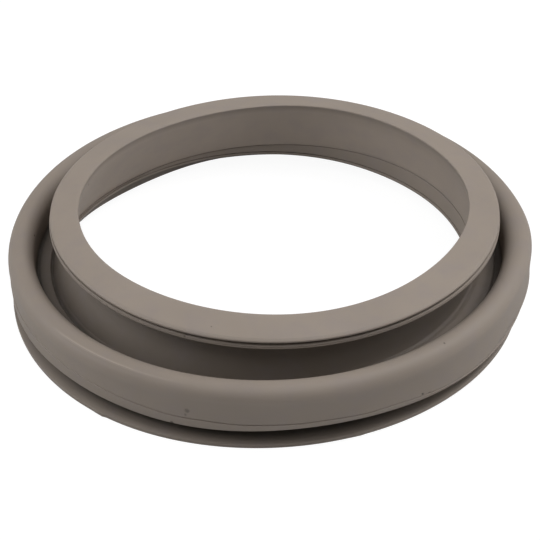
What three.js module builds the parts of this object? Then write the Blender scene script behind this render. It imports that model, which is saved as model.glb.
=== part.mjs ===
// Washing machine door seal: one moulded rubber ring that joins the cabinet's door opening to the tub.
// It lies on its tub side with the door side up. Sizes are millimetres and +Z is up.
// The origin is the middle of the ring's outline, on the plane that the foot lies on.

import * as THREE from 'three';

// Top flange: the face that the door glass presses on
const boreRadius = 139.5;
const topHeight = 69.5;
const flangeWidth = 23.7;
const flangeSlopeDeg = 9.3;
const boreEdgeRound = 1;
const flangeEdgeWidth = 1.8;
const flangeEdgeDrop = 1.2;
const flangeEdgeRound = 0.9;

// Panel groove between the two lips, where the cabinet's sheet edge sits
const upperLipThickness = 2.2;
const grooveWidth = 2.6;
const grooveDepth = 11.5;
const lowerLipThickness = 3.2;
const lowerLipSetback = 0.2;
const lipCornerRound = 0.65;
const lipRootRound = 2.6;
const lipLineDepth = 0.35;
const lipLineWidth = 0.5;

// Neck: the thin wall that flares from the flange to the trough
const neckWall = 2.5;
const neckFlare = 15.4;

// Trough between the neck and the roll
const ledgeHeight = 25;
const neckGrooveWidth = 4;
const neckGrooveDepth = 1.1;
const ledgeWidth = 7.7;
const gutterWidth = 5.1;
const gutterDepth = 2.4;
const floorThickness = 3.6;

// Drum lip, under the neck
const creaseBelowFloor = 0.4;
const drumBandHeight = 6.6;
const drumLineDepth = 0.9;
const drumLineWidth = 1;
const drumBeadHeight = 3;
const drumLipThickness = 3.4;
const drumTipRound = 1.5;

// Roll and its skirt, with the mould's parting line
const rollWidth = 18.8;
const rollHeight = 48.7;
const rollRound = 9.3;
const rollWall = 3.4;
const skirtEdgeHeight = 15.3;
const skirtEdgeRound = 1.1;
const partingAboveEdge = 5.9;
const partingStep = 0.3;

// Foot flange, which stands on the floor, and the leg that carries the roll
const footInset = 1.3;
const footRimHeight = 3;
const footRimWidth = 3;
const footRimSlope = 0.25;
const footRimRound = 0.65;
const footRise = 2.6;
const footToeWidth = 0.8;
const legWall = 3.6;

// How the soft rubber settles as the ring lies on its foot, measured from the foot's axis.
// Azimuths are degrees from +X.
const neckShift = 8.5;
const neckTiltDeg = 1.3;
const neckTiltTowardDeg = 40;
const drumShiftX = -3.6;
const drumShiftY = -1.8;
const rollShiftX = 2.65;
const rollShiftY = -1.45;
const rollOval = 1.2;
const rollOvalTowardDeg = -40;

// How three moulded edges rise or hang on one side: the bore's crease, the parting line and the drum lip
const creaseRise = 8;
const partingRise = 6.8;
const partingRiseTowardDeg = 180;
const drumSag = 5.5;
const drumSagTowardDeg = 131;
const drumSagPower = 11;

// Fineness of the facets
const turnSteps = 64;
const arcTolerance = 0.21;

// Radii that follow from the widths, from the bore outwards
const slope = Math.tan(THREE.MathUtils.degToRad(flangeSlopeDeg));
const lipRadius = boreRadius + flangeWidth;
const flangeEdgeRadius = lipRadius - flangeEdgeWidth;
const grooveRadius = lipRadius - grooveDepth;
const lowerLipRadius = lipRadius - lowerLipSetback;
const creaseRadius = boreRadius + neckFlare;
const creaseHeight = ledgeHeight - floorThickness - creaseBelowFloor;
const neckFootRadius = boreRadiusAt(ledgeHeight + neckGrooveDepth) + neckWall;
const ledgeInnerRadius = neckFootRadius + neckGrooveWidth;
const ledgeOuterRadius = ledgeInnerRadius + ledgeWidth;
const rollInnerRadius = ledgeOuterRadius + gutterWidth;
const rollOuterRadius = rollInnerRadius + rollWidth;
const legOuterRadius = rollInnerRadius + rollWall;
const legInnerRadius = legOuterRadius - legWall;
const footRadius = rollOuterRadius - footInset;
const footInnerRadius = legInnerRadius - footToeWidth;
const drumLipOuterRadius = creaseRadius + drumLipThickness;

// Heights that follow, from the top down
const flangeEdgeHeight = topHeight - (flangeEdgeRadius - boreRadius) * slope;
const lipEdgeHeight = flangeEdgeHeight - flangeEdgeDrop;
const grooveTopHeight = flangeEdgeHeight - upperLipThickness;
const grooveFloorHeight = grooveTopHeight - grooveWidth;
const lowerLipHeight = grooveFloorHeight - lowerLipThickness;
const underFloorHeight = ledgeHeight - gutterDepth - floorThickness;
const drumLineHeight = creaseHeight - drumBandHeight;
const drumTipHeight = drumLineHeight - drumBeadHeight;
const partingHeight = skirtEdgeHeight + partingAboveEdge;

const rubber = new THREE.MeshStandardMaterial({ color: '#8d8278', roughness: 0.62, metalness: 0 });
rubber.name = 'grey_moulded_rubber';

// A corner of the section: its distance from the axis, its height and how far it is rounded.
// The edge, where it has one, says which moulded edge it belongs to.
function corner(radius, height, round = 0, edge = 'none') {
  return { at: new THREE.Vector2(radius, height), round, edge };
}

// The neck's inner face is straight, and its outer face lies one wall outside it.
function boreRadiusAt(height) {
  const down = (topHeight - height) / (topHeight - creaseHeight);
  return boreRadius + neckFlare * down;
}

function topFlange() {
  const lineMiddle = grooveFloorHeight - lowerLipThickness / 2;
  return [
    corner(boreRadius, topHeight, boreEdgeRound),
    corner(flangeEdgeRadius, flangeEdgeHeight, flangeEdgeRound),
    corner(lipRadius, lipEdgeHeight, lipCornerRound),
    corner(lipRadius, grooveTopHeight),
    corner(grooveRadius, grooveTopHeight, grooveWidth / 2),
    corner(grooveRadius, grooveFloorHeight, grooveWidth / 2),
    corner(lowerLipRadius, grooveFloorHeight, lipCornerRound),
    corner(lowerLipRadius, lineMiddle + lipLineWidth / 2),
    corner(lowerLipRadius - lipLineDepth, lineMiddle),
    corner(lowerLipRadius, lineMiddle - lipLineWidth / 2),
    corner(lowerLipRadius, lowerLipHeight, lipCornerRound),
  ];
}

function neckAndTrough() {
  const rootHeight = lowerLipHeight - lipRootRound / 2;
  const grooveMiddle = neckFootRadius + neckGrooveWidth / 2;
  return [
    corner(boreRadiusAt(rootHeight) + neckWall, rootHeight, lipRootRound),
    corner(neckFootRadius, ledgeHeight + neckGrooveDepth, neckGrooveDepth),
    corner(grooveMiddle, ledgeHeight - neckGrooveDepth, neckGrooveDepth),
    corner(ledgeInnerRadius, ledgeHeight, neckGrooveDepth / 2),
    corner(ledgeOuterRadius, ledgeHeight, gutterDepth / 2),
    corner(ledgeOuterRadius + gutterDepth / 2, ledgeHeight - gutterDepth),
    corner(rollInnerRadius, ledgeHeight - gutterDepth, gutterWidth / 2),
  ];
}

function rollAndSkirt() {
  const hollowRound = rollRound - rollWall;
  const hollowTop = rollHeight - rollWall;
  const skirtInnerRadius = rollOuterRadius - rollWall;
  return [
    corner(rollInnerRadius, rollHeight, rollRound),
    corner(rollOuterRadius - partingStep, rollHeight, rollRound),
    corner(rollOuterRadius - partingStep, partingHeight + partingStep, 0, 'parting'),
    corner(rollOuterRadius, partingHeight, 0, 'parting'),
    corner(rollOuterRadius, skirtEdgeHeight, skirtEdgeRound),
    corner(skirtInnerRadius, skirtEdgeHeight, skirtEdgeRound),
    corner(skirtInnerRadius, hollowTop, hollowRound),
    corner(legOuterRadius, hollowTop, hollowRound),
  ];
}

function legAndFoot() {
  const rimInnerRadius = footRadius - footRimWidth;
  return [
    corner(legOuterRadius, footRimHeight + footRise, footRise),
    corner(rimInnerRadius, footRimHeight + footRimWidth * footRimSlope),
    corner(footRadius, footRimHeight, footRimRound),
    corner(footRadius, 0, footRimRound),
    corner(footInnerRadius, 0, footRimRound),
    corner(footInnerRadius, footRimHeight, footRimRound),
    corner(legInnerRadius, footRimHeight + footToeWidth / 2),
    corner(legInnerRadius, underFloorHeight, floorThickness / 2),
  ];
}

function drumLip() {
  const blockHeight = lowerLipHeight - lipRootRound / 2;
  return [
    corner(drumLipOuterRadius, ledgeHeight - floorThickness - gutterDepth / 2, floorThickness / 2),
    corner(drumLipOuterRadius, drumTipHeight, drumTipRound, 'drumTip'),
    corner(creaseRadius, drumTipHeight, drumTipRound),
    corner(creaseRadius, drumLineHeight - drumLineWidth / 2),
    corner(creaseRadius + drumLineDepth, drumLineHeight),
    corner(creaseRadius, drumLineHeight + drumLineWidth / 2),
    corner(creaseRadius, creaseHeight, 0, 'crease'),
    corner(boreRadiusAt(blockHeight), blockHeight),
  ];
}

// Replaces one corner by points along the arc that touches both of its sides.
function arcAt(before, here, after) {
  const towardBefore = before.at.clone().sub(here.at);
  const towardAfter = after.at.clone().sub(here.at);
  const room = Math.min(towardBefore.length(), towardAfter.length()) / 2;
  towardBefore.normalize();
  towardAfter.normalize();
  const halfAngle = Math.acos(towardBefore.dot(towardAfter)) / 2;
  const tangentLength = Math.min(here.round / Math.tan(halfAngle), room);
  const radius = tangentLength * Math.tan(halfAngle);
  const middle = towardBefore.clone().add(towardAfter).normalize();
  const centre = here.at.clone().addScaledVector(middle, radius / Math.sin(halfAngle));
  const start = here.at.clone().addScaledVector(towardBefore, tangentLength);
  const turn = Math.PI - 2 * halfAngle;
  const side = Math.sign(towardBefore.cross(towardAfter));
  const stepAngle = 2 * Math.acos(1 - arcTolerance / Math.max(radius, arcTolerance));
  const steps = Math.max(1, Math.ceil(turn / stepAngle));
  const points = [];
  for (let step = 0; step <= steps; step += 1) {
    points.push(start.clone().rotateAround(centre, -side * turn * step / steps));
  }
  return points;
}

// Gives every corner its share of the neck's motion, from 0 on the roll and the foot to 1 on the neck.
function withNeckShare(corners, shareOf) {
  return corners.map((here) => ({ ...here, neckShare: shareOf(here.at.x) }));
}

function floorShare(radius) {
  const inward = (rollInnerRadius - radius) / (rollInnerRadius - drumLipOuterRadius);
  return THREE.MathUtils.clamp(inward, 0, 1);
}

function sectionPoints(corners) {
  const points = [];
  corners.forEach((here, index) => {
    const before = corners[(index + corners.length - 1) % corners.length];
    const after = corners[(index + 1) % corners.length];
    const arc = here.round > 0 ? arcAt(before, here, after) : [here.at];
    arc.forEach((at) => points.push({ at, edge: here.edge, neckShare: here.neckShare }));
  });
  points.push(points[0]);
  return points;
}

// How far an edge lies above its height in the section at one azimuth.
function edgeRise(edge, azimuth) {
  const toward = (degrees) => Math.cos(azimuth - THREE.MathUtils.degToRad(degrees));
  if (edge === 'parting') {
    const lowest = skirtEdgeRound + partingStep - partingAboveEdge;
    return Math.max(partingRise * toward(partingRiseTowardDeg), lowest);
  }
  if (edge === 'crease') {
    return Math.max(creaseRise * Math.cos(azimuth), drumLineWidth - drumBandHeight);
  }
  if (edge === 'drumTip') {
    return -drumSag * Math.max(0, toward(drumSagTowardDeg)) ** drumSagPower;
  }
  return 0;
}

// Moves one point of the turned ring from where the mould made it to where it settles.
function settle(point, sectionPoint) {
  const azimuth = Math.atan2(point.y, point.x);
  const rise = edgeRise(sectionPoint.edge, azimuth);
  const height = sectionPoint.at.y + rise;
  let radius = sectionPoint.at.x;
  if (sectionPoint.edge === 'crease') {
    radius += boreRadiusAt(height) - boreRadiusAt(sectionPoint.at.y);
  }
  const freedom = (sectionPoint.at.y - footRimHeight) / (drumTipHeight - footRimHeight);
  const free = THREE.MathUtils.clamp(freedom, 0, 1);
  const up = THREE.MathUtils.clamp((height - drumTipHeight) / (lowerLipHeight - drumTipHeight), 0, 1);
  const neck = sectionPoint.neckShare;
  const roll = free * (1 - neck);
  const ovalTurn = 2 * (azimuth - THREE.MathUtils.degToRad(rollOvalTowardDeg));
  radius += roll * rollOval * Math.cos(ovalTurn);
  const x = radius * Math.cos(azimuth);
  const y = radius * Math.sin(azimuth);
  const toward = THREE.MathUtils.degToRad(neckTiltTowardDeg);
  const fall = Math.tan(THREE.MathUtils.degToRad(neckTiltDeg));
  return point.set(
    x + roll * rollShiftX + neck * free * THREE.MathUtils.lerp(drumShiftX, neckShift, up),
    y + roll * rollShiftY + neck * free * THREE.MathUtils.lerp(drumShiftY, 0, up),
    height - neck * up * fall * (x * Math.cos(toward) + y * Math.sin(toward)),
  );
}

// Stands the ring in the middle of its own outline.
function centre(geometry) {
  geometry.computeBoundingBox();
  const middle = geometry.boundingBox.getCenter(new THREE.Vector3());
  geometry.translate(-middle.x, -middle.y, 0);
}

function doorSeal() {
  const corners = [
    ...withNeckShare(topFlange(), () => 1),
    ...withNeckShare(neckAndTrough(), floorShare),
    ...withNeckShare(rollAndSkirt(), () => 0),
    ...withNeckShare(legAndFoot(), () => 0),
    ...withNeckShare(drumLip(), () => 1),
  ];
  const section = sectionPoints(corners).reverse();
  const geometry = new THREE.LatheGeometry(section.map((each) => each.at), turnSteps);
  geometry.rotateX(Math.PI / 2);
  const positions = geometry.attributes.position;
  const point = new THREE.Vector3();
  for (let index = 0; index < positions.count; index += 1) {
    point.fromBufferAttribute(positions, index);
    settle(point, section[index % section.length]);
    positions.setXYZ(index, point.x, point.y, point.z);
  }
  centre(geometry);
  geometry.computeVertexNormals();
  const mesh = new THREE.Mesh(geometry, rubber);
  mesh.name = 'door_seal';
  return mesh;
}

const part = new THREE.Group();
part.name = 'washing_machine_door_seal';
part.add(doorSeal());

export default part;
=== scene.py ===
# %% [markdown]
# # A washing machine door seal in Blender
# The seal is one moulded rubber ring. It lies on its tub side, with the door side up.
# The imported model is the fixed frame: it gives the place, the size and the body of everything here.
# The ring on top of it gets the fine folds, the mould lines, the marks of wear, the rubber's finish and
# painted light and shade in its colour.

import math

import bmesh
import bpy
from mathutils import Matrix, Vector
from mathutils.bvhtree import BVHTree


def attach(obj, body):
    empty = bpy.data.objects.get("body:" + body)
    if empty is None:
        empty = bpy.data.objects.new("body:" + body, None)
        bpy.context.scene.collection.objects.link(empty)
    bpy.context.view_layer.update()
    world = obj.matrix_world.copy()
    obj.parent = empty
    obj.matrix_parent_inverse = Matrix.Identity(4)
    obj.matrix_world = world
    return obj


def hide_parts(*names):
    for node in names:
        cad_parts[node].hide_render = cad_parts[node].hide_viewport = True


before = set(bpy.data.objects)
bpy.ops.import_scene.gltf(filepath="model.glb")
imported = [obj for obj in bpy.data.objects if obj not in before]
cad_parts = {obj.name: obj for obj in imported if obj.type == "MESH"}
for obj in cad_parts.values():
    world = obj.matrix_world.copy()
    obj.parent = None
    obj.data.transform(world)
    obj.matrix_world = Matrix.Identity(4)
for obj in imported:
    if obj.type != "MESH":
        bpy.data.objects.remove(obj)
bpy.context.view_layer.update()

# %% [markdown]
# ## Camera
# The photograph looks down on the ring at about 37 degrees from a metre away, with a small roll.
# The camera is placed first, because every later choice is judged through it. It is built from its
# three axes, so no constraint or target object is needed. It was measured from the axis of the foot,
# which stands 2 mm off the origin, because the origin is the middle of the whole outline. Its distance
# is in metres, its lens and its sensor are in millimetres, and its angles are in degrees.

# %% Place the camera
CAMERA_DISTANCE = 1.05
CAMERA_ELEVATION = 36.52
CAMERA_YAW = -0.19
CAMERA_PITCH = 0.14
CAMERA_ROLL = -1.93
CAMERA_LENS = 92.07
SENSOR_WIDTH = 36
FOOT_AXIS = Vector((-0.00208, 0.00127, 0))


def photo_camera():
    lift = math.radians(CAMERA_ELEVATION)
    back = Vector((0, -math.cos(lift), math.sin(lift)))
    place = FOOT_AXIS + back * CAMERA_DISTANCE
    right = Vector((1, 0, 0))
    axes = [right, back.cross(right), back]
    for turning, degrees in ((1, CAMERA_YAW), (0, CAMERA_PITCH), (2, CAMERA_ROLL)):
        turn = Matrix.Rotation(math.radians(degrees), 3, axes[turning])
        axes = [turn @ axis for axis in axes]
    data = bpy.data.cameras.new("photo_camera")
    data.lens = CAMERA_LENS
    data.sensor_width = SENSOR_WIDTH
    camera = bpy.data.objects.new("photo_camera", data)
    camera.matrix_world = Matrix.Translation(place) @ Matrix(axes).transposed().to_4x4()
    bpy.context.collection.objects.link(camera)
    bpy.context.scene.camera = camera
    return camera


camera = photo_camera()
print("camera at", [round(value, 3) for value in camera.location])

# %% [markdown]
# ## The section
# A moulded ring is one section turned round an axis. The section is a closed line of corners, and each
# corner is rounded by a small bevel, as the mould maker's cutter rounds it. Lengths are millimetres
# here, and radii are counted from the axis of the foot. The flange's slope is in degrees, and the foot
# rim's slope is its rise for each millimetre.

# %% Sizes of the section
BORE_RADIUS = 139.5
TOP_HEIGHT = 69.5
FLANGE_WIDTH = 23.7
FLANGE_SLOPE = 9.3
BORE_EDGE_ROUND = 1
FLANGE_EDGE_WIDTH = 1.8
FLANGE_EDGE_DROP = 1.2
FLANGE_EDGE_ROUND = 0.9
UPPER_LIP_THICKNESS = 2.2
GROOVE_WIDTH = 2.6
GROOVE_DEPTH = 11.5
LOWER_LIP_THICKNESS = 3.2
LOWER_LIP_SETBACK = 0.2
LIP_CORNER_ROUND = 0.65
LIP_ROOT_ROUND = 2.6
LIP_LINE_DEPTH = 0.35
LIP_LINE_WIDTH = 0.5
NECK_WALL = 2.5
NECK_FLARE = 15.4
LEDGE_HEIGHT = 25
NECK_GROOVE_WIDTH = 4
NECK_GROOVE_DEPTH = 1.1
LEDGE_WIDTH = 7.7
GUTTER_WIDTH = 5.1
GUTTER_DEPTH = 2.4
FLOOR_THICKNESS = 3.6
CREASE_BELOW_FLOOR = 0.4
CREASE_LINE_DEPTH = 0.4
CREASE_LINE_WIDTH = 1.2
DRUM_BAND_HEIGHT = 6.6
DRUM_LINE_DEPTH = 0.9
DRUM_LINE_WIDTH = 1
DRUM_BEAD_HEIGHT = 3
DRUM_LIP_THICKNESS = 3.4
DRUM_TIP_ROUND = 1.5
ROLL_WIDTH = 18.8
ROLL_HEIGHT = 48.7
ROLL_ROUND = 9.3
SHOULDER_ROUND = 9
ROLL_WALL = 3.4
SKIRT_EDGE_HEIGHT = 15.3
SKIRT_EDGE_ROUND = 1.1
PARTING_ABOVE_EDGE = 5.9
PARTING_STEP = 0.3
PARTING_LINE_WIDTH = 0.9
PARTING_LINE_DEPTH = 0.55
FOOT_INSET = 1.3
FOOT_RIM_HEIGHT = 3
FOOT_RIM_WIDTH = 3
FOOT_RIM_SLOPE = 0.25
FOOT_RIM_ROUND = 0.65
FOOT_RISE = 2.6
FOOT_TOE_WIDTH = 0.8
LEG_WALL = 3.6
print("bore", 2 * BORE_RADIUS, "mm wide, flange", TOP_HEIGHT, "mm high, roll", ROLL_HEIGHT, "mm high")

# %% [markdown]
# The radii follow from the bore outwards and the heights from the top down, so one size can change and
# everything that touches it follows.

# %% Radii and heights that follow
slope = math.tan(math.radians(FLANGE_SLOPE))
lip_radius = BORE_RADIUS + FLANGE_WIDTH
flange_edge_radius = lip_radius - FLANGE_EDGE_WIDTH
groove_radius = lip_radius - GROOVE_DEPTH
lower_lip_radius = lip_radius - LOWER_LIP_SETBACK
crease_radius = BORE_RADIUS + NECK_FLARE
crease_height = LEDGE_HEIGHT - FLOOR_THICKNESS - CREASE_BELOW_FLOOR


def bore_radius_at(height):
    down = (TOP_HEIGHT - height) / (TOP_HEIGHT - crease_height)
    return BORE_RADIUS + NECK_FLARE * down


neck_foot_radius = bore_radius_at(LEDGE_HEIGHT + NECK_GROOVE_DEPTH) + NECK_WALL
ledge_inner_radius = neck_foot_radius + NECK_GROOVE_WIDTH
ledge_outer_radius = ledge_inner_radius + LEDGE_WIDTH
roll_inner_radius = ledge_outer_radius + GUTTER_WIDTH
roll_outer_radius = roll_inner_radius + ROLL_WIDTH
leg_outer_radius = roll_inner_radius + ROLL_WALL
leg_inner_radius = leg_outer_radius - LEG_WALL
foot_radius = roll_outer_radius - FOOT_INSET
foot_inner_radius = leg_inner_radius - FOOT_TOE_WIDTH
drum_lip_outer_radius = crease_radius + DRUM_LIP_THICKNESS
flange_edge_height = TOP_HEIGHT - (flange_edge_radius - BORE_RADIUS) * slope
groove_top_height = flange_edge_height - UPPER_LIP_THICKNESS
groove_floor_height = groove_top_height - GROOVE_WIDTH
lower_lip_height = groove_floor_height - LOWER_LIP_THICKNESS
under_floor_height = LEDGE_HEIGHT - GUTTER_DEPTH - FLOOR_THICKNESS
drum_line_height = crease_height - DRUM_BAND_HEIGHT
drum_tip_height = drum_line_height - DRUM_BEAD_HEIGHT
parting_height = SKIRT_EDGE_HEIGHT + PARTING_ABOVE_EDGE
print("foot radius", round(foot_radius, 2), "roll radius", round(roll_outer_radius, 2))

# %% [markdown]
# The corners go once round the section: over the door flange and its two lips, down the neck's outer
# face, across the trough, over the roll and its skirt, up into the hollow, down the leg to the foot,
# and back along the underside to the drum lip in the bore.

# %% Corners of the top flange and the neck
line_middle = groove_floor_height - LOWER_LIP_THICKNESS / 2
root_height = lower_lip_height - LIP_ROOT_ROUND / 2
flange_corners = [
    (BORE_RADIUS, TOP_HEIGHT, BORE_EDGE_ROUND),
    (flange_edge_radius, flange_edge_height, FLANGE_EDGE_ROUND),
    (lip_radius, flange_edge_height - FLANGE_EDGE_DROP, LIP_CORNER_ROUND),
    (lip_radius, groove_top_height, 0),
    (groove_radius, groove_top_height, GROOVE_WIDTH / 2),
    (groove_radius, groove_floor_height, GROOVE_WIDTH / 2),
    (lower_lip_radius, groove_floor_height, LIP_CORNER_ROUND),
    (lower_lip_radius, line_middle + LIP_LINE_WIDTH / 2, 0),
    (lower_lip_radius - LIP_LINE_DEPTH, line_middle, 0),
    (lower_lip_radius, line_middle - LIP_LINE_WIDTH / 2, 0),
    (lower_lip_radius, lower_lip_height, LIP_CORNER_ROUND),
    (bore_radius_at(root_height) + NECK_WALL, root_height, LIP_ROOT_ROUND),
]
print("corners of the flange:", len(flange_corners))

# %% [markdown]
# The trough is a ledge with a small groove beside the neck and a gutter before the roll. The roll is a
# hollow fold. Its outer wall is the skirt, which ends in a free edge above the foot. The parting line
# runs round the skirt where two parts of the mould met, with a small step from one to the other.

# %% Corners of the trough, the roll and the skirt
trough_corners = [
    (neck_foot_radius, LEDGE_HEIGHT + NECK_GROOVE_DEPTH, NECK_GROOVE_DEPTH),
    (neck_foot_radius + NECK_GROOVE_WIDTH / 2, LEDGE_HEIGHT - NECK_GROOVE_DEPTH, NECK_GROOVE_DEPTH),
    (ledge_inner_radius, LEDGE_HEIGHT, NECK_GROOVE_DEPTH / 2),
    (ledge_outer_radius, LEDGE_HEIGHT, GUTTER_DEPTH / 2),
    (ledge_outer_radius + GUTTER_DEPTH / 2, LEDGE_HEIGHT - GUTTER_DEPTH, 0),
    (roll_inner_radius, LEDGE_HEIGHT - GUTTER_DEPTH, GUTTER_WIDTH / 2),
]
wall_radius = roll_outer_radius - PARTING_STEP
line_radius = wall_radius - PARTING_LINE_DEPTH
line_rim = PARTING_LINE_WIDTH / 2
hollow_top = ROLL_HEIGHT - ROLL_WALL
hollow_round = ROLL_ROUND - ROLL_WALL
roll_corners = [
    (roll_inner_radius, ROLL_HEIGHT, ROLL_ROUND),
    (wall_radius, ROLL_HEIGHT, SHOULDER_ROUND),
    (wall_radius, parting_height + line_rim, 0),
    (line_radius, parting_height, 0),
    (roll_outer_radius, parting_height - line_rim, 0),
    (roll_outer_radius, SKIRT_EDGE_HEIGHT, SKIRT_EDGE_ROUND),
    (roll_outer_radius - ROLL_WALL, SKIRT_EDGE_HEIGHT, SKIRT_EDGE_ROUND),
    (roll_outer_radius - ROLL_WALL, hollow_top, hollow_round),
    (leg_outer_radius, hollow_top, hollow_round),
]
print("corners of the trough:", len(trough_corners), "and of the roll:", len(roll_corners))

# %% [markdown]
# The leg stands on a flat foot with a rim that slopes a little. In the bore, the drum lip hangs below
# the crease, with a line round it and a bead under the line.

# %% Corners of the foot, the underside and the drum lip
rim_top = FOOT_RIM_HEIGHT + FOOT_RIM_WIDTH * FOOT_RIM_SLOPE
line_half = DRUM_LINE_WIDTH / 2
crease_half = CREASE_LINE_WIDTH / 2
crease_top = crease_height + crease_half
drum_root_height = LEDGE_HEIGHT - FLOOR_THICKNESS - GUTTER_DEPTH / 2
foot_corners = [
    (leg_outer_radius, FOOT_RIM_HEIGHT + FOOT_RISE, FOOT_RISE),
    (foot_radius - FOOT_RIM_WIDTH, rim_top, 0),
    (foot_radius, FOOT_RIM_HEIGHT, FOOT_RIM_ROUND),
    (foot_radius, 0, FOOT_RIM_ROUND),
    (foot_inner_radius, 0, FOOT_RIM_ROUND),
    (foot_inner_radius, FOOT_RIM_HEIGHT, FOOT_RIM_ROUND),
    (leg_inner_radius, FOOT_RIM_HEIGHT + FOOT_TOE_WIDTH / 2, 0),
    (leg_inner_radius, under_floor_height, FLOOR_THICKNESS / 2),
]
drum_corners = [
    (drum_lip_outer_radius, drum_root_height, FLOOR_THICKNESS / 2),
    (drum_lip_outer_radius, drum_tip_height, DRUM_TIP_ROUND),
    (crease_radius, drum_tip_height, DRUM_TIP_ROUND),
    (crease_radius, drum_line_height - line_half, 0),
    (crease_radius + DRUM_LINE_DEPTH, drum_line_height, 0),
    (crease_radius, drum_line_height + line_half, 0),
    (crease_radius, crease_height - crease_half, 0),
    (crease_radius + CREASE_LINE_DEPTH, crease_height, 0),
    (bore_radius_at(crease_top), crease_top, 0),
    (bore_radius_at(root_height), root_height, 0),
]
corners = flange_corners + trough_corners + roll_corners + foot_corners + drum_corners
print("section corners:", len(corners))

# %% [markdown]
# ## The section as a wire
# The corners become vertices joined by edges in the plane Y = 0. A bevel of single vertices then rounds
# each corner. The offset is the length of the tangent, so a given radius needs a longer offset at a
# blunt corner than at a sharp one. Long edges are cut up, so that the ring can bend smoothly later.

# %% Draw and round the wire
MM = 0.001
WIRE_SPACING = 3.2
ROUND_SPACING = 1.0
MIN_ROUND_STEPS = 3
MAX_ROUND_STEPS = 12


def tangent_length(before, here, after, radius):
    to_before = (before - here).normalized()
    to_after = (after - here).normalized()
    half_angle = to_before.angle(to_after) / 2
    return radius / math.tan(half_angle), math.pi - 2 * half_angle


def draw_section(mesh, places):
    points = [Vector((radius * MM, 0, height * MM)) for radius, height, _ in places]
    verts = [mesh.verts.new(point) for point in points]
    count = len(verts)
    for index in range(count):
        mesh.edges.new((verts[index], verts[(index + 1) % count]))
    for index, (_, _, radius) in enumerate(places):
        if radius == 0:
            continue
        before = points[index - 1]
        here = points[index]
        after = points[(index + 1) % count]
        room = min((before - here).length, (after - here).length) / 2
        tangent, turn = tangent_length(before, here, after, radius * MM)
        steps = round(radius * turn / ROUND_SPACING)
        bmesh.ops.bevel(
            mesh, geom=[verts[index]], offset=min(tangent, room), offset_type='OFFSET',
            segments=max(MIN_ROUND_STEPS, min(MAX_ROUND_STEPS, steps)), profile=0.5,
            affect='VERTICES', material=-1,
        )
    for edge in list(mesh.edges):
        cuts = int(edge.calc_length() / (WIRE_SPACING * MM))
        if cuts > 0:
            bmesh.ops.subdivide_edges(mesh, edges=[edge], cuts=cuts)


ring = bmesh.new()
draw_section(ring, corners)
print("section points:", len(ring.verts))

# %% [markdown]
# ## Turn the section into the ring
# One full spin about the Z axis makes the whole moulding, with one step for each degree. The spin joins
# its last turn to its first, doubled points are merged, and the normals are worked out again, because a
# spin can leave them pointing inwards.

# %% Spin the ring
TURN_STEPS = 360
MERGE_DISTANCE = 0.00001

wire = list(ring.verts) + list(ring.edges)
bmesh.ops.spin(
    ring, geom=wire, cent=(0, 0, 0), axis=(0, 0, 1), dvec=(0, 0, 0), angle=math.tau,
    space=Matrix.Identity(4), steps=TURN_STEPS, use_merge=True, use_normal_flip=False,
    use_duplicate=False,
)
bmesh.ops.remove_doubles(ring, verts=list(ring.verts), dist=MERGE_DISTANCE)
bmesh.ops.recalc_face_normals(ring, faces=list(ring.faces))
print("ring faces:", len(ring.faces))

# %% [markdown]
# ## Let the soft rubber settle
# Rubber this thin doesn't stand quite true. The foot stays where it lies, and the rest has moved a little:
# the roll to one side and slightly oval, the drum lip to the other side, and the neck with its flange
# over and tipped. Each point takes a share of these motions by its place in the section. A shift is in
# millimetres along X and Y, and a value named toward is an azimuth in degrees from +X.

# %% How far each part settles
NECK_SHIFT = 8.5
NECK_TILT = 1.3
NECK_TILT_TOWARD = 40
DRUM_SHIFT = (-3.6, -1.8)
ROLL_SHIFT = (2.65, -1.45)
ROLL_OVAL = 1.2
ROLL_OVAL_TOWARD = -40


def clamp(value):
    return max(0, min(1, value))


def blend(low, high, share):
    return low + (high - low) * share


def neck_share(radius, height):
    if height > LEDGE_HEIGHT:
        return 1 if radius < (ledge_outer_radius + roll_inner_radius) / 2 else 0
    return clamp((roll_inner_radius - radius) / (roll_inner_radius - drum_lip_outer_radius))


print("the neck moves", NECK_SHIFT, "mm toward +X and tips by", NECK_TILT, "degrees")

# %% [markdown]
# No soft edge is a true circle, and two small functions say how far it is from one at an azimuth. A wave
# runs round the whole ring. It is given by how many crests it has, its size in millimetres, and the
# azimuth of a crest. A bulge stands in one place. It is given by its size, the azimuth of its middle, and
# a power that makes it narrower the higher it is. A negative size is a dent.

# %% Waves and bulges


def toward(azimuth, degrees):
    return math.cos(azimuth - math.radians(degrees))


def wave(azimuth, terms):
    return sum(size * math.cos(crests * (azimuth - math.radians(crest))) for crests, size, crest in terms)


def bulge(azimuth, terms):
    return sum(size * max(0, toward(azimuth, middle)) ** power for size, middle, power in terms)


# %% [markdown]
# Three moulded edges rise or hang on one side. The crease in the bore slides along the neck's cone. The
# parting line climbs toward the left, with small waves and one hump. The drum lip's tip hangs lower at
# the back, most at the left. The wall on either side of an edge follows it, less and less with distance.
# A point that is nearer to a bound than NEAR or MARGIN, in millimetres, still counts as inside it.

# %% Edges that rise and hang
NEAR = 0.1
MARGIN = 1
CREASE_RISE = 8
PARTING_RISE = 6.8
PARTING_RISE_TOWARD = 180
PARTING_WAVES = ((17, 0.22, 3), (29, 0.18, 8))
PARTING_HUMP = ((1.5, -64, 60),)
DRUM_SAG = ((5.5, 131, 11),)
DRUM_DROOP = ((1.1, 42, 14),)
shoulder_height = ROLL_HEIGHT - ROLL_ROUND
line_top = drum_line_height + line_half
skirt_corner_top = SKIRT_EDGE_HEIGHT + SKIRT_EDGE_ROUND


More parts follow.
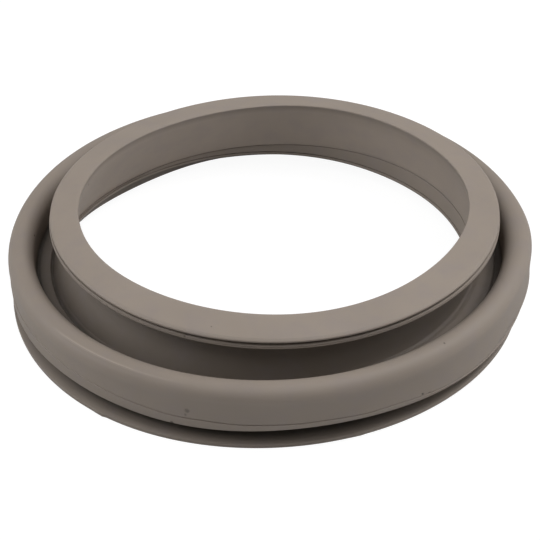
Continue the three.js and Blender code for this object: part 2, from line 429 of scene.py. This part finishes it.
def crease_rise(azimuth, radius, height):
    on_bore = radius < crease_radius + DRUM_LINE_DEPTH and line_top < height < root_height
    if not on_bore:
        return 0
    below = (height - line_top) / (crease_height - crease_half - line_top)
    above = (root_height - height) / (root_height - crease_top)
    lowest = DRUM_LINE_WIDTH - DRUM_BAND_HEIGHT
    return clamp(min(below, above)) * max(CREASE_RISE * math.cos(azimuth), lowest)


def parting_rise(azimuth, radius, height):
    on_wall = radius > roll_outer_radius - ROLL_WALL / 2 and skirt_corner_top < height < shoulder_height
    if not on_wall:
        return 0
    below = (height - skirt_corner_top) / (parting_height - line_rim - skirt_corner_top)
    above = (shoulder_height - height) / (shoulder_height - parting_height - line_rim)
    lowest = SKIRT_EDGE_ROUND + PARTING_LINE_WIDTH - PARTING_ABOVE_EDGE
    rise = PARTING_RISE * toward(azimuth, PARTING_RISE_TOWARD) + wave(azimuth, PARTING_WAVES)
    rise += bulge(azimuth, PARTING_HUMP)
    return clamp(min(below, above)) * max(rise, lowest)


def drum_sag(azimuth, radius, height):
    in_bore = radius <= leg_inner_radius - FLOOR_THICKNESS
    if not in_bore or not drum_tip_height - MARGIN < height < drum_root_height:
        return 0
    across = clamp((radius - crease_radius - DRUM_TIP_ROUND) / (DRUM_LIP_THICKNESS - 2 * DRUM_TIP_ROUND))
    along = clamp((drum_root_height - height) / (drum_root_height - drum_tip_height))
    return along * (across * bulge(azimuth, DRUM_SAG) + bulge(azimuth, DRUM_DROOP))


left = math.radians(PARTING_RISE_TOWARD)
print("the parting line is", round(parting_height + parting_rise(left, wall_radius, parting_height), 1),
      "mm high at the left and", round(parting_height, 1), "mm in the section")

# %% [markdown]
# The flange's inner edge, the lips, the roll and the foot each have a few slow waves, and the lips, the
# roll and the foot a dent or a bulge too. The foot's rim has two nicks as well: it swells for a few
# degrees and then steps back. A nick is given by the azimuth of that step and by its size. The flange's
# inner edge is the least round of all, and lies up to 4 mm inside its circle at the back.

# %% Slow waves of the soft edges
BORE_EDGE_WAVES = ((1, 0.9, -94), (2, 1.8, 22), (3, 1.0, 53), (4, 0.8, -5), (5, 0.5, -2))
BORE_FACE_DEPTH = 0.5
UPPER_LIP_WAVES = ((2, 0.25, -70), (2, 0.4, 42), (3, 0.4, 37), (4, 0.5, 0))
LOWER_LIP_WAVES = ((2, 0.4, 19), (3, 0.4, -57), (4, 0.9, -2))
LIP_DENT = ((-0.9, 120, 10),)
ROLL_WAVES = ((1, 0.35, -90), (2, 0.35, 0), (3, 0.5, -5), (5, 0.4, -10))
ROLL_BULGES = ((0.8, -3, 60), (-1.3, -27, 60))
FOOT_WAVES = ((2, 0.3, -50), (5, 0.3, -54))
FOOT_BULGES = ((1.1, -104, 3), (0.8, -32, 20))
FOOT_NICKS = ((-125.5, 0.8), (-71.5, 0.35))
NICK_DEGREES = 4


def foot_nick(azimuth):
    degrees = math.degrees(azimuth)
    for end, size in FOOT_NICKS:
        if end - NICK_DEGREES < degrees <= end:
            return size * (1 - (end - degrees) / NICK_DEGREES)
    return 0


def wave_at(azimuth, radius, height):
    on_bore = radius < bore_radius_at(height) + BORE_FACE_DEPTH
    if height > lower_lip_height - MARGIN and radius < lip_radius + MARGIN:
        inward = clamp((flange_edge_radius - radius) / (flange_edge_radius - BORE_RADIUS))
        if on_bore:
            inward = 1
        outward = clamp((radius - groove_radius) / (lip_radius - groove_radius))
        lips = UPPER_LIP_WAVES if height > groove_floor_height + GROOVE_WIDTH / 2 else LOWER_LIP_WAVES
        lip = wave(azimuth, lips) + bulge(azimuth, LIP_DENT)
        return inward * wave(azimuth, BORE_EDGE_WAVES) + outward * lip
    if on_bore and height > crease_height:
        down = (lower_lip_height - height) / (lower_lip_height - crease_height)
        return (1 - down) * wave(azimuth, BORE_EDGE_WAVES)
    if radius > roll_inner_radius and height > skirt_corner_top:
        outward = clamp((radius - roll_inner_radius) / ROLL_WIDTH)
        return outward * (wave(azimuth, ROLL_WAVES) + bulge(azimuth, ROLL_BULGES))
    if radius > leg_outer_radius and height < rim_top:
        outward = clamp((radius - leg_outer_radius) / FOOT_RIM_WIDTH)
        return outward * (wave(azimuth, FOOT_WAVES) + bulge(azimuth, FOOT_BULGES) + foot_nick(azimuth))
    return 0


around = [math.tau * step / TURN_STEPS for step in range(TURN_STEPS)]
moves = [wave(turn, BORE_EDGE_WAVES) for turn in around]
print("the bore's edge lies from", round(min(moves), 1), "to", round(max(moves), 1), "mm off its circle")

# %% [markdown]
# The skirt has its own small forms. Its free edge rises and falls, and the parting line goes with it. The
# band below the line leans in a little, as draft that lets it out of the mould. The wall above the line
# has drawn in as it cooled, to a slight waist that is deepest half way up. The line is a fine groove that
# is deep at the front and fades to the sides. The points within LINE_NEAR of its radius are its bottom. A
# short ridge of flash lies on the left shoulder, between two azimuths, and it fades in and out. In the
# trough, the groove beside the neck is deep at the left, where the neck has pulled away from the roll,
# and nearly closed at the right, where the two are pressed together. Its two values there are parts of
# the depth in the section.

# %% Forms of the skirt and the shoulder
SKIRT_WAVES_TOWARD = -76
SKIRT_WAVES = ((5, 1.6, SKIRT_WAVES_TOWARD),)
SKIRT_DRAFT = 0.8
WALL_WAIST = 0.6
LINE_FAINTEST = 0.6
LINE_DEEPEST_TOWARD = -86
LINE_FADE_POWER = 5
LINE_NEAR = 0.05
NECK_GROOVE_RIGHT = 0.2
NECK_GROOVE_LEFT = 1.7
RIDGE_HEIGHT = 0.5
RIDGE_ANGLE = 60
RIDGE_SPREAD = 3
RIDGE_START = -142
RIDGE_FULL = -136
RIDGE_FADE = -126
RIDGE_END = -106


def skirt_rise(azimuth, radius, height):
    on_skirt = radius > roll_outer_radius - ROLL_WALL - NEAR
    if not on_skirt or not SKIRT_EDGE_HEIGHT - NEAR < height < shoulder_height:
        return 0
    share = clamp((shoulder_height - height) / (shoulder_height - parting_height))
    return share * wave(azimuth, SKIRT_WAVES) * max(0, toward(azimuth, SKIRT_WAVES_TOWARD))


def skirt_draft(azimuth, radius, height):
    if radius < roll_outer_radius - ROLL_WALL / 2 or height < SKIRT_EDGE_HEIGHT - NEAR:
        return 0
    front = max(0, toward(azimuth, LINE_DEEPEST_TOWARD))
    draft = -SKIRT_DRAFT * front * clamp((parting_height - height) / PARTING_ABOVE_EDGE)
    up = clamp((height - parting_height - line_rim) / (shoulder_height - parting_height - line_rim))
    arch = 4 * up * (1 - up)
    draft -= WALL_WAIST * front * arch
    if abs(radius - line_radius) < LINE_NEAR:
        draft += PARTING_LINE_DEPTH * (1 - blend(LINE_FAINTEST, 1, front ** LINE_FADE_POWER))
    return draft


def left_share(azimuth):
    return (1 - math.cos(azimuth)) / 2


def groove_sink(azimuth, radius, height):
    in_groove = neck_foot_radius - NEAR < radius < ledge_inner_radius
    if not in_groove or not LEDGE_HEIGHT - NECK_GROOVE_DEPTH - NEAR < height < LEDGE_HEIGHT:
        return 0
    deeper = blend(NECK_GROOVE_RIGHT, NECK_GROOVE_LEFT, left_share(azimuth)) - 1
    return deeper * (LEDGE_HEIGHT - height)


def shoulder_ridge(azimuth, radius, height):
    across = radius - wall_radius + SHOULDER_ROUND
    up = height - ROLL_HEIGHT + SHOULDER_ROUND
    on_round = across > 0 and up > 0 and math.hypot(across, up) > SHOULDER_ROUND - NEAR
    if not on_round or abs(math.degrees(math.atan2(up, across)) - RIDGE_ANGLE) > RIDGE_SPREAD:
        return 0
    degrees = math.degrees(azimuth)
    start = clamp((degrees - RIDGE_START) / (RIDGE_FULL - RIDGE_START))
    return RIDGE_HEIGHT * start * clamp((RIDGE_END - degrees) / (RIDGE_END - RIDGE_FADE))


front = math.radians(SKIRT_WAVES_TOWARD)
print("the skirt's edge rises by", skirt_rise(front, roll_outer_radius, SKIRT_EDGE_HEIGHT), "mm at the front")

# %% [markdown]
# Here all the small motions come together for one point. Its height changes first, then its distance
# from the axis, and then it goes along with the roll, or with the drum lip and the neck, by its share.

# %% Where a point settles
def settled(azimuth, radius, height):
    crease = crease_rise(azimuth, radius, height)
    ridge = shoulder_ridge(azimuth, radius, height)
    place = height + crease + parting_rise(azimuth, radius, height) - drum_sag(azimuth, radius, height)
    place += skirt_rise(azimuth, radius, height) - groove_sink(azimuth, radius, height)
    place += ridge * math.sin(math.radians(RIDGE_ANGLE))
    free = clamp((height - FOOT_RIM_HEIGHT) / (drum_tip_height - FOOT_RIM_HEIGHT))
    up = clamp((place - drum_tip_height) / (lower_lip_height - drum_tip_height))
    neck = neck_share(radius, height)
    roll = free * (1 - neck)
    across = radius + bore_radius_at(height + crease) - bore_radius_at(height)
    across += roll * ROLL_OVAL * math.cos(2 * (azimuth - math.radians(ROLL_OVAL_TOWARD)))
    across += wave_at(azimuth, radius, height) + skirt_draft(azimuth, radius, height)
    across += ridge * math.cos(math.radians(RIDGE_ANGLE))
    x = across * math.cos(azimuth)
    y = across * math.sin(azimuth)
    fall = math.tan(math.radians(NECK_TILT)) * across * toward(azimuth, NECK_TILT_TOWARD)
    return Vector((
        x + roll * ROLL_SHIFT[0] + neck * free * blend(DRUM_SHIFT[0], NECK_SHIFT, up),
        y + roll * ROLL_SHIFT[1] + neck * free * blend(DRUM_SHIFT[1], 0, up),
        place - neck * up * fall,
    ))


edge = settled(0, BORE_RADIUS, TOP_HEIGHT)
print("the bore's edge toward +X settles at", [round(value, 1) for value in edge], "mm from the foot's axis")

# %% [markdown]
# Each place takes a share between a dark and a pale tone of the rubber, and most of the difference
# between places is painted light and shade. The open faces, the flange, the skirt and the bore, are the
# palest, and the roll's top is painted paler than its wall. The neck, the ledge and the trough are painted
# darker, and the grooves, the gutter and the hollow, where shade falls, are painted darkest. The bore is
# painted paler toward the back and the left, and darker just under its top edge. A share of 0 is the dark
# tone and a share of 1 is the flange's pale tone. A sheltered place goes below 0 as painted shade, and the
# ridge of flash goes above 1 as a painted highlight.

# %% Share of pale tone and painted shade in each place
# Shares of pale tone by place; most of the differences between them are painted light and shade.
TONE_AND_SHADE_FLANGE = 1
TONE_AND_SHADE_LIPS = 0.85
TONE_AND_SHADE_NECK = 0.3
TONE_AND_SHADE_LEDGE = 0.5
TONE_AND_SHADE_TROUGH = 0.4
TONE_AND_SHADE_ROLL = 0.85
# Painted highlight along the ridge of flash on the left shoulder.
PAINTED_HIGHLIGHT_RIDGE = 1.6
TONE_AND_SHADE_WALL = 0.76
TONE_AND_SHADE_FOOT = 0.78
TONE_AND_SHADE_DRUM_BAND = 0.6
TONE_AND_SHADE_BORE = 0.9
# Painted light: the bore is painted paler toward this azimuth, the back and the left, and darker toward the
# right.
PAINTED_LIGHT_BORE_MORE = 0.45
PAINTED_LIGHT_BORE_TOWARD = 115
# Painted shade: the bore's top few millimetres, under the flange's edge, are painted darker.
PAINTED_SHADE_BORE_TOP = 0.3
PAINTED_SHADE_BORE_TOP_DEPTH = 7
# Painted shade, below the darkest tone, for the grooves, the gutter, the hollow, the foot beside the leg and
# the drum lip's underside.
PAINTED_SHADE_SHELTERED = -0.4


def tone_and_shade_at(azimuth, radius, height):
    # Painted shade in the hollow under the roll.
    in_hollow = leg_outer_radius - NEAR < radius < roll_outer_radius - ROLL_WALL + NEAR
    if in_hollow and FOOT_RIM_HEIGHT + FOOT_RISE / 2 < height < hollow_top + NEAR:
        return PAINTED_SHADE_SHELTERED
    # Painted shade in the lines of the drum lip and the crease and under the lip's tip; the band and the bead
    # keep their tone.
    if height < crease_height + NEAR and radius < drum_lip_outer_radius + FLOOR_THICKNESS:
        on_face = radius < crease_radius + CREASE_LINE_DEPTH / 2
        above_tip = height > drum_tip_height + DRUM_TIP_ROUND / 2
        return TONE_AND_SHADE_DRUM_BAND if on_face and above_tip else PAINTED_SHADE_SHELTERED
    if radius < bore_radius_at(height) + NECK_WALL / 2 and height < TOP_HEIGHT - BORE_EDGE_ROUND:
        # Painted light: paler toward the back and the left of the bore.
        full = TONE_AND_SHADE_BORE + PAINTED_LIGHT_BORE_MORE * toward(azimuth, PAINTED_LIGHT_BORE_TOWARD)
        # Painted shade: darker toward the bore's top edge, under the flange.
        return blend(PAINTED_SHADE_BORE_TOP, full, clamp((TOP_HEIGHT - height) / PAINTED_SHADE_BORE_TOP_DEPTH))
    if radius < lip_radius + MARGIN and height > flange_edge_height - FLANGE_EDGE_DROP:
        return TONE_AND_SHADE_FLANGE
    if radius < lip_radius + MARGIN and height > lower_lip_height - NEAR:
        return TONE_AND_SHADE_LIPS
    # Painted shade: the neck's outer face, in the shade of the lips and the roll, is painted dark.
    if radius < neck_foot_radius + NEAR:
        return TONE_AND_SHADE_NECK
    # Painted shade on the foot, darkest beside the leg under the skirt and paler toward the rim.
    if height < rim_top + FOOT_RISE:
        out = clamp((radius - leg_outer_radius) / (foot_radius - FOOT_RIM_WIDTH - leg_outer_radius))
        return blend(PAINTED_SHADE_SHELTERED, TONE_AND_SHADE_FOOT, out)
    # Painted shade in the trough: the ledge darkens toward the gutter before the roll, and the neck's groove
    # is painted darker toward the left, where it is deeper.
    if height < LEDGE_HEIGHT + NEAR and radius < roll_inner_radius + NEAR:
        if radius < ledge_inner_radius and height < LEDGE_HEIGHT - NEAR:
            return blend(TONE_AND_SHADE_LEDGE, PAINTED_SHADE_SHELTERED, left_share(azimuth))
        out = clamp((radius - ledge_inner_radius) / LEDGE_WIDTH)
        return blend(TONE_AND_SHADE_LEDGE, PAINTED_SHADE_SHELTERED, out * out)
    # Painted shade on the roll's inner wall down in the trough.
    if radius < roll_inner_radius + NEAR and height < shoulder_height:
        return TONE_AND_SHADE_TROUGH
    # Painted light: the roll's up-facing top is painted paler than its wall.
    return TONE_AND_SHADE_ROLL if height > shoulder_height else TONE_AND_SHADE_WALL


print("bloom at the front: flange", tone_and_shade_at(front, lip_radius, TOP_HEIGHT), "and skirt",
      tone_and_shade_at(front, roll_outer_radius, parting_height))

# %% [markdown]
# Every point of the mesh is now moved. Its share of tone and painted shade, with the painted highlight on
# the ridge, goes into a layer of the mesh, which the material reads later by the layer's name.

# %% Move every point to its settled place
# This layer carries each point's share of tone and painted light and shade.
tone_and_shade_layer = ring.verts.layers.float.new("tone_and_shade")
for vert in ring.verts:
    flat = vert.co.to_2d()
    azimuth = math.atan2(flat.y, flat.x)
    radius, height = flat.length / MM, vert.co.z / MM
    # The ridge of flash gets a painted highlight, paler than any tone of the rubber.
    on_ridge = shoulder_ridge(azimuth, radius, height) / RIDGE_HEIGHT
    vert[tone_and_shade_layer] = blend(tone_and_shade_at(azimuth, radius, height), PAINTED_HIGHLIGHT_RIDGE, on_ridge)
    vert.co = settled(azimuth, radius, height) * MM + FOOT_AXIS
print("the settled ring is", round(max(vert.co.z for vert in ring.verts) / MM, 2), "mm high")

# %% [markdown]
# ## From bmesh to object
# The mesh is written to an object that sits at the origin. Smooth shading suits moulded rubber, and the
# few true edges, such as the lip lines, are marked sharp by their angle.

# %% Make the ring's object
SHARP_ANGLE = 38

ring_mesh = bpy.data.meshes.new("door_seal_ring")
ring.to_mesh(ring_mesh)
surface = BVHTree.FromBMesh(ring)
ring.free()
ring_mesh.shade_smooth()
ring_mesh.set_sharp_from_angle(angle=math.radians(SHARP_ANGLE))
door_seal = bpy.data.objects.new("door_seal_ring", ring_mesh)
bpy.context.collection.objects.link(door_seal)
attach(door_seal, "root")
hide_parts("door_seal")
print("triangles:", sum(len(face.vertices) - 2 for face in ring_mesh.polygons))

# %% [markdown]
# ## Helpers for materials
# A colour is written as the hex value that a paint chart would give, and one function turns it to the
# linear values that the renderer works in, with the numbers of the sRGB standard. Another adds one node
# with its settings and links. A setting is a property of the node if it has one of that name, and else
# the value of a socket.

# %% Colour and node helpers


def linear(hex_colour):
    channels = [int(hex_colour[index:index + 2], 16) / 255 for index in (1, 3, 5)]
    curved = [value / 12.92 if value <= 0.04045 else ((value + 0.055) / 1.055) ** 2.4 for value in channels]
    return (*curved, 1)


def add_node(tree, kind, settings=None, links=None):
    node = tree.nodes.new(kind)
    for name, value in (settings or {}).items():
        if isinstance(name, str) and hasattr(node, name):
            setattr(node, name, value)
        else:
            node.inputs[name].default_value = value
    for name, source in (links or {}).items():
        tree.links.new(source, node.inputs[name])
    return node


def new_material(name):
    material = bpy.data.materials.new(name)
    material.use_nodes = True
    material.node_tree.nodes.clear()
    return material, material.node_tree


print("a mid grey, #808080, is", round(linear("#808080")[0], 3), "in linear values")

# %% [markdown]
# ## Marks of wear
# The ring is used. It has a scuff on the skirt, a few pits beside the parting line, and specks on the
# roll, the flange and the bore. Each mark is a place and a size in millimetres, brought onto the rubber's
# surface, and how dark it is, 0 to 1. In the material, a mark is the distance from that place, made
# ragged by a fine noise, so that no mark is a round dot.

# %% Places of the marks
MARKS = {
    "skirt_scuff": ((-55.4, -182, 28.1), 2.2, 0.4),
    "scuff_tail": ((-56.6, -181.6, 24.6), 1.2, 0.3),
    "skirt_edge_pit": ((-66, -178.4, 15), 1.6, 0.8),
    "trough_pit": ((-172.6, 2.1, 41.7), 1.3, 0.7),
    "line_pit": ((98.3, -165.2, 20.8), 1.1, 0.7),
    "small_line_pit": ((103, -162.5, 19.3), 0.9, 0.6),
    "bore_speck": ((-131.7, 36.1, 62.2), 1.1, 0.6),
    "lip_nick": ((-55.7, -149.4, 63.1), 1.2, 0.5),
    "roll_speck": ((113, -147.1, 48.2), 0.8, 0.6),
    "flange_dot": ((-38, -148.2, 69.8), 0.7, 0.5),
}
MARK_RAGGED = 1.6
MARK_GRAIN = 1.5


def marks_on(tree, place):
    ragged = add_node(
        tree, "ShaderNodeTexNoise", {"Scale": 1 / (MARK_GRAIN * MM), "Detail": 1}, {"Vector": place},
    )
    moved = add_node(
        tree, "ShaderNodeVectorMath", {"operation": 'MULTIPLY_ADD', 1: [MARK_RAGGED * MM] * 3,
                                       2: [-MARK_RAGGED * MM / 2] * 3},
        {0: ragged.outputs["Color"]},
    )
    near = add_node(
        tree, "ShaderNodeVectorMath", {"operation": 'ADD'}, {0: place, 1: moved.outputs["Vector"]},
    )
    total = None
    for point, size, darkness in MARKS.values():
        spot = surface.find_nearest(Vector(point) * MM)[0]
        away = add_node(
            tree, "ShaderNodeVectorMath", {"operation": 'DISTANCE', 1: spot}, {0: near.outputs["Vector"]},
        )
        mark = add_node(
            tree, "ShaderNodeMapRange",
            {"From Min": size * MM, "From Max": size * MM / 2, "To Min": 0, "To Max": darkness},
            {"Value": away.outputs["Value"]},
        )
        if total is None:
            total = mark.outputs["Result"]
        else:
            both = add_node(
                tree, "ShaderNodeMath", {"operation": 'MAXIMUM'}, {0: total, 1: mark.outputs["Result"]},
            )
            total = both.outputs["Value"]
    return total


print("marks of wear:", len(MARKS))

# %% [markdown]
# ## The rubber
# The ring is EPDM rubber, moulded hot and left as it comes out of the mould: grey with a warm brown cast
# and nearly matt. The colour goes from a dark grey to a pale one by the share of tone and painted shade in
# each place, so light and shade are painted into it. The share drifts in soft patches as wide as a palm,
# 60 mm, and a faint cooler mottling is as wide as a thumb, 16 mm. The grain of a blasted mould is about
# 0.1 mm wide, which is too fine to show here, so it is drawn 1.2 mm wide and very shallow. It breaks up
# the highlights. The marks are dark and sunk.

# %% Make the rubber's material
# The dark and the pale ends of the rubber's colour; painted light and shade mix between them.
RUBBER_BARE_AND_SHADED = "#7C736A"
RUBBER_DUSTY_AND_LIT = "#9F9388"
RUBBER_COOL = "#8E868A"
RUBBER_MARK = "#3B342F"
RUBBER_IOR = 1.5
RUBBER_SPECULAR = 0.35
RUBBER_SMOOTHEST = 0.5
RUBBER_ROUGHEST = 0.62
PATCH_SIZE = 60
PATCH_DRIFT = 0.22
PATCH_RANGE = (0.25, 0.75)
MOTTLE_SIZE = 16
MOTTLE_SHARE = 0.2
MOTTLE_RANGE = (0.45, 0.7)
GRAIN_SIZE = 1.2
GRAIN_HEIGHT = 0.3
GRAIN_STRENGTH = 0.12
MARK_HEIGHT = 0.5
MARK_STRENGTH = 0.8


def moulded_rubber():
    material, tree = new_material("grey_epdm_rubber")
    place = add_node(tree, "ShaderNodeTexCoord").outputs["Object"]
    patches = add_node(
        tree, "ShaderNodeTexNoise", {"Scale": 1 / (PATCH_SIZE * MM), "Detail": 3, "Roughness": 0.5},
        {"Vector": place},
    )
    mottle = add_node(
        tree, "ShaderNodeTexNoise", {"Scale": 1 / (MOTTLE_SIZE * MM), "Detail": 4, "Roughness": 0.55},
        {"Vector": place},
    )
    grain = add_node(
        tree, "ShaderNodeTexNoise", {"Scale": 1 / (GRAIN_SIZE * MM), "Detail": 2, "Roughness": 0.6},
        {"Vector": place},
    )
    # The share of tone and painted shade of each place, read from the mesh's layer.
    tone_and_shade = add_node(tree, "ShaderNodeAttribute", {"attribute_name": "tone_and_shade"})
    drift = add_node(
        tree, "ShaderNodeMapRange",
        {
            "From Min": PATCH_RANGE[0], "From Max": PATCH_RANGE[1],
            "To Min": -PATCH_DRIFT / 2, "To Max": PATCH_DRIFT / 2,
        },
        {"Value": patches.outputs["Fac"]},
    )
    level = add_node(
        tree, "ShaderNodeMath", {"operation": 'ADD'},
        {0: tone_and_shade.outputs["Fac"], 1: drift.outputs["Result"]},
    )
    # This mix paints the light and shade of each place into the colour.
    tone_and_shade_colour = add_node(
        tree, "ShaderNodeMix",
        {"data_type": 'RGBA', "clamp_factor": False, 6: linear(RUBBER_BARE_AND_SHADED), 7: linear(RUBBER_DUSTY_AND_LIT)},
        {0: level.outputs["Value"]},
    )
    cool = add_node(
        tree, "ShaderNodeMapRange",
        {"From Min": MOTTLE_RANGE[0], "From Max": MOTTLE_RANGE[1], "To Min": 0, "To Max": MOTTLE_SHARE},
        {"Value": mottle.outputs["Fac"]},
    )
    tint = add_node(
        tree, "ShaderNodeMix", {"data_type": 'RGBA', 7: linear(RUBBER_COOL)},
        {0: cool.outputs["Result"], 6: tone_and_shade_colour.outputs[2]},
    )
    marks = marks_on(tree, place)
    marked = add_node(
        tree, "ShaderNodeMix", {"data_type": 'RGBA', 7: linear(RUBBER_MARK)}, {0: marks, 6: tint.outputs[2]},
    )
    grain_bump = add_node(
        tree, "ShaderNodeBump", {"Strength": GRAIN_STRENGTH, "Distance": GRAIN_HEIGHT * MM},
        {"Height": grain.outputs["Fac"]},
    )
    mark_bump = add_node(
        tree, "ShaderNodeBump", {"invert": True, "Strength": MARK_STRENGTH, "Distance": MARK_HEIGHT * MM},
        {"Height": marks, "Normal": grain_bump.outputs["Normal"]},
    )
    rough = add_node(
        tree, "ShaderNodeMapRange", {"To Min": RUBBER_SMOOTHEST, "To Max": RUBBER_ROUGHEST},
        {"Value": grain.outputs["Fac"]},
    )
    shader = add_node(
        tree, "ShaderNodeBsdfPrincipled", {"IOR": RUBBER_IOR, "Specular IOR Level": RUBBER_SPECULAR},
        {
            "Base Color": marked.outputs[2],
            "Roughness": rough.outputs["Result"],
            "Normal": mark_bump.outputs["Normal"],
        },
    )
    add_node(tree, "ShaderNodeOutputMaterial", None, {"Surface": shader.outputs["BSDF"]})
    return material


ring_mesh.materials.append(moulded_rubber())
print("nodes in the rubber:", len(ring_mesh.materials[0].node_tree.nodes))

# %% [markdown]
# ## Floor, lamps and background
# The photograph has a plain white ground. The floor is white to the camera, with part of its brightness
# from the lamps, so that the ring keeps a soft shadow. To all other light it is a pale matt sheet with a
# faint glow, which throws light back up under the skirt. It lies a hair below the foot, so that the two
# faces don't flicker into each other. Its width and its drop are in metres.

# %% Make the floor
FLOOR_SIZE = 6
FLOOR_DROP = 0.0002
FLOOR_GLOW = 0.94
FLOOR_SHADOW_PART = "#6E6E6E"
FLOOR_BOUNCE = "#D8D8D8"
FLOOR_BOUNCE_GLOW = 0.07


def studio_paper():
    material, tree = new_material("white_studio_paper")
    path = add_node(tree, "ShaderNodeLightPath")
    glow = add_node(tree, "ShaderNodeEmission", {"Strength": FLOOR_GLOW})
    shade = add_node(tree, "ShaderNodeBsdfDiffuse", {"Color": linear(FLOOR_SHADOW_PART)})
    shown = add_node(
        tree, "ShaderNodeAddShader", None, {0: glow.outputs["Emission"], 1: shade.outputs["BSDF"]},
    )
    bounce = add_node(tree, "ShaderNodeBsdfDiffuse", {"Color": linear(FLOOR_BOUNCE)})
    bounce_glow = add_node(tree, "ShaderNodeEmission", {"Strength": FLOOR_BOUNCE_GLOW})
    unseen = add_node(
        tree, "ShaderNodeAddShader", None, {0: bounce_glow.outputs["Emission"], 1: bounce.outputs["BSDF"]},
    )
    mixed = add_node(
        tree, "ShaderNodeMixShader", None,
        {0: path.outputs["Is Camera Ray"], 1: unseen.outputs["Shader"], 2: shown.outputs["Shader"]},
    )
    add_node(tree, "ShaderNodeOutputMaterial", None, {"Surface": mixed.outputs["Shader"]})
    return material


sheet = bmesh.new()
bmesh.ops.create_grid(
    sheet, x_segments=1, y_segments=1, size=FLOOR_SIZE / 2,
    matrix=Matrix.Translation((0, 0, -FLOOR_DROP)),
)
floor_mesh = bpy.data.meshes.new("studio_floor")
sheet.to_mesh(floor_mesh)
sheet.free()
floor = bpy.data.objects.new("studio_floor", floor_mesh)
floor_mesh.materials.append(studio_paper())
bpy.context.collection.objects.link(floor)
print("the floor is", FLOOR_SIZE, "m wide")

# %% [markdown]
# The world is pure white to the camera, past the floor's edge, and only a weak even light to the ring.

# %% Set the world
WORLD_STRENGTH = 0.1
WORLD_SHOWN = 1

world = bpy.data.worlds.new("studio_world")
bpy.context.scene.world = world
world.use_nodes = True
world_tree = world.node_tree
world_tree.nodes.clear()
world_path = add_node(world_tree, "ShaderNodeLightPath")
world_level = add_node(
    world_tree, "ShaderNodeMapRange", {"To Min": WORLD_STRENGTH, "To Max": WORLD_SHOWN},
    {"Value": world_path.outputs["Is Camera Ray"]},
)
world_light = add_node(
    world_tree, "ShaderNodeBackground", {"Color": (1, 1, 1, 1)},
    {"Strength": world_level.outputs["Result"]},
)
add_node(world_tree, "ShaderNodeOutputWorld", None, {"Surface": world_light.outputs["Background"]})
print("world strength on the ring:", WORLD_STRENGTH)

# %% [markdown]
# The lamps are broad soft boxes. The photograph is lit from both sides, more from the left, with a high
# box at the right that draws the light line along the roll, a weak one overhead and one behind. No lamp
# stands in front, so the front of the neck stays dark. A soft box is an area lamp turned to the ring.
# It is given by its place and its width in metres, and its power in watts.

# %% Hang the lamps


def soft_box(name, place, size, power):
    data = bpy.data.lights.new(name, 'AREA')
    data.shape = 'SQUARE'
    data.size = size
    data.energy = power
    lamp = bpy.data.objects.new(name, data)
    lamp.location = place
    lamp.rotation_euler = (-Vector(place)).to_track_quat('-Z', 'Y').to_euler()
    bpy.context.collection.objects.link(lamp)
    return lamp


LAMPS = {
    "left_box": ((-1.6, 0.1, 0.9), 1.2, 12.9),
    "right_box": ((1.6, 0.1, 0.9), 1.2, 8.1),
    "high_right_box": ((0.9, 0.1, 1.5), 0.8, 11.2),
    "high_left_box": ((-0.9, 0.1, 1.5), 0.8, 1.5),
    "top_box": ((0, -0.6, 1.7), 1.4, 5.5),
    "back_box": ((0, 1.7, 0.9), 1.2, 2.4),
}
lamps = [soft_box(name, *values) for name, values in LAMPS.items()]
print("lamps:", [lamp.name for lamp in lamps])

# %% [markdown]
# ## Finish
# The Standard view shows a colour about as it is written.

# %% Set the view and finish
bpy.context.scene.view_settings.view_transform = 'Standard'
